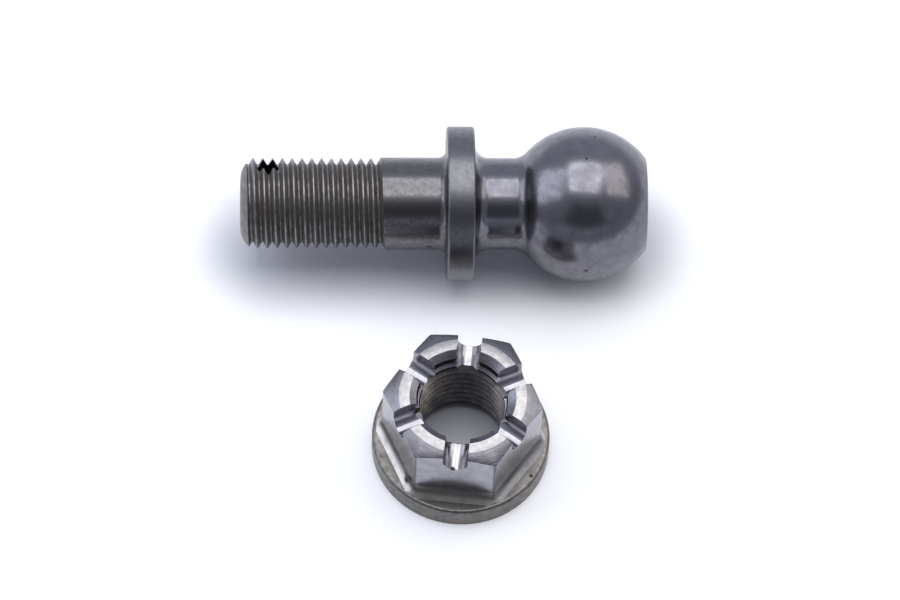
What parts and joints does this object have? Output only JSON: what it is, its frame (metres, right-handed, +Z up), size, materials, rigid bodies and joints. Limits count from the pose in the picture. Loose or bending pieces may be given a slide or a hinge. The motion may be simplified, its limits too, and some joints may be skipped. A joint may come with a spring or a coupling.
{
  "type": "ball joint stud with nut",
  "caption": "Steel ball stud with a collar and a threaded shank, lying beside its slotted flange nut.",
  "frame": {"origin": "centre of the ball of the ball stud", "axes": "+X along the stud from its thread to its ball, +Z up from the surface that both pieces lie on, -Y towards the nut"},
  "size_m": [0.062, 0.0606, 0.0236],
  "materials": {
    "stud_steel": "satin dark steel, turned and ground",
    "nut_steel": "oiled steel, bright where machined"
  },
  "bodies": {
    "stud": {"ball_stud": "stud_steel"},
    "nut": {"slotted_flange_nut": "nut_steel"}
  },
  "joints": [
    {"name": "nut_turn", "type": "hinge", "parent": "stud", "child": "nut", "pos_m": [-0.01895, -0.0354, -0.0118], "axis": [0, 0, 1], "continuous": true}
  ]
}
